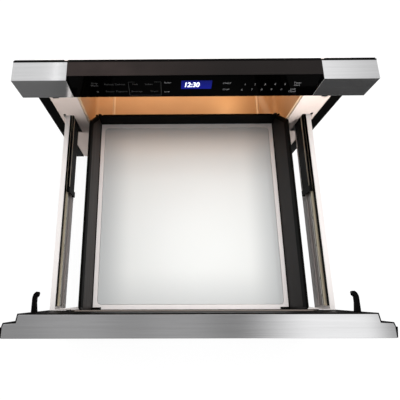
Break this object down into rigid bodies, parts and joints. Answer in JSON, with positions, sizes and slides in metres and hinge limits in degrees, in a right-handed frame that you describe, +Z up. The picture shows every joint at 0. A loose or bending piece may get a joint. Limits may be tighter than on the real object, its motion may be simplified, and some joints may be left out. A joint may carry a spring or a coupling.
{
  "type": "microwave drawer",
  "caption": "Built-in microwave drawer, open: a shallow cooking bin behind a steel front, on telescopic slides below a slanted glass control head, in a steel cabinet.",
  "frame": {"origin": "middle of the base pan's underside, on which the unit stands", "axes": "+X to the right seen from the front, +Y back into the cabinet (the drawer opens along -Y), +Z up"},
  "size_m": [0.6152, 1.0023, 0.403],
  "materials": {
    "brushed_steel": "brushed stainless steel",
    "galvanised_steel": "dull galvanised sheet",
    "zinc_steel": "zinc-plated steel",
    "white_paint": "semi-gloss pinkish-white paint on steel",
    "cavity_paint": "smooth heat-proof enamel paint",
    "black_plastic": "fine-grained black plastic",
    "grey_plastic": "satin dark grey plastic",
    "white_plastic": "semi-gloss off-white plastic",
    "black_glass": "polished black glass, printed behind",
    "pale_glass": "polished pale glass-ceramic",
    "display": "backlit display behind the glass",
    "circuit_board": "green circuit board",
    "ceramic": "unglazed white ceramic",
    "motor_iron": "dark painted steel",
    "transformer_iron": "varnished laminated iron and copper"
  },
  "bodies": {
    "cabinet": {"base_pan": "galvanised_steel", "outer_cover": "white_paint", "back_panel": "galvanised_steel", "cavity_box": "cavity_paint", "front_plate": "white_paint", "pillar_right": "black_plastic", "pillar_left": "black_plastic", "head_carrier": "black_plastic", "end_block_right": "brushed_steel", "end_block_left": "brushed_steel", "control_housing": "black_plastic", "control_glass": "black_glass", "display_module": "display", "control_board": "circuit_board", "slide_mount_right": "galvanised_steel", "slide_mount_left": "galvanised_steel", "cabinet_rail_right": "zinc_steel", "cabinet_rail_left": "zinc_steel", "latch_switch_right": "black_plastic", "latch_switch_left": "black_plastic", "drive_motor": "motor_iron", "antenna_well": "galvanised_steel", "antenna_cover": "ceramic", "waveguide": "galvanised_steel", "antenna_motor": "motor_iron", "magnetron": "zinc_steel", "transformer": "transformer_iron", "capacitor": "zinc_steel", "fan_shroud": "black_plastic", "fan_motor": "motor_iron", "filter_board": "circuit_board", "cavity_lamp": "ceramic", "cord_gland": "black_plastic"},
    "drawer": {"drawer_front": "brushed_steel", "inner_door": "black_plastic", "end_cap_right": "black_plastic", "end_cap_left": "black_plastic", "drawer_bracket_right": "white_paint", "drawer_bracket_left": "white_paint", "drawer_rail_right": "zinc_steel", "drawer_rail_left": "zinc_steel", "bin_tray": "white_plastic", "glass_floor": "pale_glass", "bin_wall_right": "grey_plastic", "bin_wall_left": "grey_plastic", "bin_back": "black_plastic", "drive_rack": "black_plastic"},
    "middle_member_right": {"middle_rail_right": "zinc_steel", "rail_clip_right": "black_plastic"},
    "middle_member_left": {"middle_rail_left": "zinc_steel", "rail_clip_left": "black_plastic"},
    "cage_right": {"ball_cage_right": "zinc_steel"},
    "cage_left": {"ball_cage_left": "zinc_steel"},
    "hook_right": {"latch_hook_right": "black_plastic"},
    "hook_left": {"latch_hook_left": "black_plastic"},
    "pinion": {"drive_pinion": "white_plastic"},
    "stirrer": {"antenna": "zinc_steel"},
    "fan": {"fan_blade": "black_plastic"}
  },
  "joints": [
    {"name": "drawer_slide", "type": "slide", "parent": "cabinet", "child": "drawer", "axis": [0, 1, 0], "range_m": [0, 0.406]},
    {"name": "middle_slide_right", "type": "slide", "parent": "cabinet", "child": "middle_member_right", "axis": [0, 1, 0], "range_m": [0, 0.203]},
    {"name": "middle_slide_left", "type": "slide", "parent": "cabinet", "child": "middle_member_left", "axis": [0, 1, 0], "range_m": [0, 0.203]},
    {"name": "cage_slide_right", "type": "slide", "parent": "cabinet", "child": "cage_right", "axis": [0, 1, 0], "range_m": [0, 0.1015]},
    {"name": "cage_slide_left", "type": "slide", "parent": "cabinet", "child": "cage_left", "axis": [0, 1, 0], "range_m": [0, 0.1015]},
    {"name": "pinion_spin", "type": "hinge", "parent": "cabinet", "child": "pinion", "pos_m": [0.266, -0.25, 0.1435], "axis": [1, 0, 0], "range_deg": [-1662, 0]},
    {"name": "hook_pivot_right", "type": "hinge", "parent": "drawer", "child": "hook_right", "pos_m": [0.27, -0.6957, 0.293], "axis": [0, 0, 1], "range_deg": [-3, 0], "stiffness_Nm_per_rad": 0.2},
    {"name": "hook_pivot_left", "type": "hinge", "parent": "drawer", "child": "hook_left", "pos_m": [-0.27, -0.6957, 0.293], "axis": [0, 0, 1], "range_deg": [0, 3], "stiffness_Nm_per_rad": 0.2},
    {"name": "stirrer_spin", "type": "hinge", "parent": "cabinet", "child": "stirrer", "pos_m": [0, -0.06, 0.134], "axis": [0, 0, 1], "continuous": true},
    {"name": "fan_spin", "type": "hinge", "parent": "cabinet", "child": "fan", "pos_m": [0.165, 0.25, 0.092], "axis": [0, 1, 0], "continuous": true}
  ],
  "couplings": [
    {"joint": "middle_slide_right", "follows": "drawer_slide", "ratio": 0.5},
    {"joint": "middle_slide_left", "follows": "drawer_slide", "ratio": 0.5},
    {"joint": "cage_slide_right", "follows": "drawer_slide", "ratio": 0.25},
    {"joint": "cage_slide_left", "follows": "drawer_slide", "ratio": 0.25},
    {"joint": "pinion_spin", "follows": "drawer_slide", "rad_per_m": -71.429}
  ]
}
